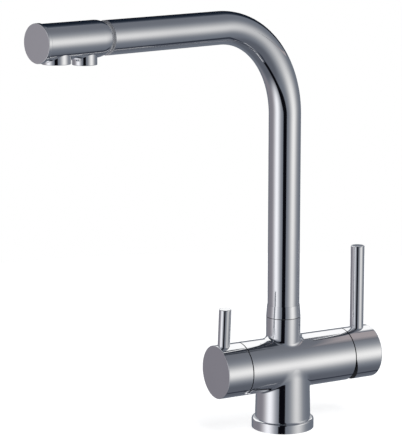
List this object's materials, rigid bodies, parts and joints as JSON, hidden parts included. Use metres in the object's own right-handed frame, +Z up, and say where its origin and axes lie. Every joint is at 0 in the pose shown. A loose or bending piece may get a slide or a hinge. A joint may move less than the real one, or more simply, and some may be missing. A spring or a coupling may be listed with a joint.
{
  "type": "kitchen mixer tap",
  "caption": "Polished three-way kitchen mixer tap with a tall swivel spout, a mixer lever and a separate filtered-water lever on a cross barrel, and a head with separate outlets.",
  "frame": {"origin": "centre of the foot, on the deck surface", "axes": "+Z up, +X along the barrel towards the mixer lever, -Y towards the user"},
  "size_m": [0.3269, 0.098, 0.3397],
  "materials": {
    "chrome": "polished",
    "brass": "machined",
    "rubber": "matte",
    "ceramic": "lapped ceramic",
    "plastic": "moulded",
    "nozzle_plastic": "moulded",
    "slip_plastic": "moulded",
    "hose": "extruded",
    "steel": "machined"
  },
  "bodies": {
    "tap_body": {"body_casting": "chrome", "base_ring": "chrome", "base_gasket": "rubber", "slip_ring": "slip_plastic", "neck_screw": "steel", "filter_valve_body": "brass", "filter_seat_seal": "rubber", "filter_fixed_disc": "ceramic", "cartridge_base": "plastic", "cartridge_port_seals": "rubber", "cartridge_fixed_disc": "ceramic", "cartridge_housing": "plastic", "cartridge_nut": "brass", "cartridge_dome": "slip_plastic"},
    "spout": {"spout_tube": "chrome", "spout_collar": "chrome", "swivel_spigot": "brass", "spigot_seals": "rubber", "filter_tube": "hose", "filter_plug": "brass", "filter_plug_seal": "rubber", "head_shell": "chrome", "head_end_cap": "chrome", "head_connector": "chrome", "head_seal": "rubber", "mains_outlet_ring": "chrome", "mains_outlet_washer": "rubber", "mains_flow_insert": "nozzle_plastic", "filter_outlet_ring": "chrome", "filter_outlet_washer": "rubber", "filter_flow_insert": "nozzle_plastic", "filter_duct": "plastic"},
    "filter_handle": {"filter_cap": "chrome", "filter_lever_pin": "chrome", "filter_cap_screw": "steel", "filter_spindle": "brass", "filter_spindle_seals": "rubber", "filter_circlip": "steel", "filter_moving_disc": "ceramic"},
    "mixer_swivel": {"mixer_carrier": "plastic", "mixer_pivot_pin": "steel"},
    "mixer_handle": {"mixer_cap": "chrome", "mixer_lever_pin": "chrome", "mixer_cap_screw": "steel", "mixer_spindle": "brass"},
    "mixer_valve": {"mixer_moving_disc": "ceramic", "mixer_disc_driver": "plastic"}
  },
  "joints": [
    {"name": "spout_swivel", "type": "hinge", "parent": "tap_body", "child": "spout", "pos_m": [0, 0, 0.0907], "axis": [0, 0, 1], "continuous": true},
    {"name": "filter_lever_turn", "type": "hinge", "parent": "tap_body", "child": "filter_handle", "pos_m": [-0.0513, 0, 0.0526], "axis": [1, 0, 0], "range_deg": [-4, 86]},
    {"name": "mixer_temperature_turn", "type": "hinge", "parent": "tap_body", "child": "mixer_swivel", "pos_m": [0.0579, 0, 0.0526], "axis": [1, 0, 0], "range_deg": [-45, 45]},
    {"name": "mixer_flow_tilt", "type": "hinge", "parent": "mixer_swivel", "child": "mixer_handle", "pos_m": [0.0579, 0, 0.0526], "axis": [0, 1, 0], "range_deg": [0, 15]},
    {"name": "mixer_disc_slide", "type": "slide", "parent": "mixer_swivel", "child": "mixer_valve", "axis": [0, 0, 1], "range_m": [0, 0.005]}
  ],
  "couplings": [
    {"joint": "mixer_disc_slide", "follows": "mixer_flow_tilt", "m_per_rad": 0.019}
  ]
}
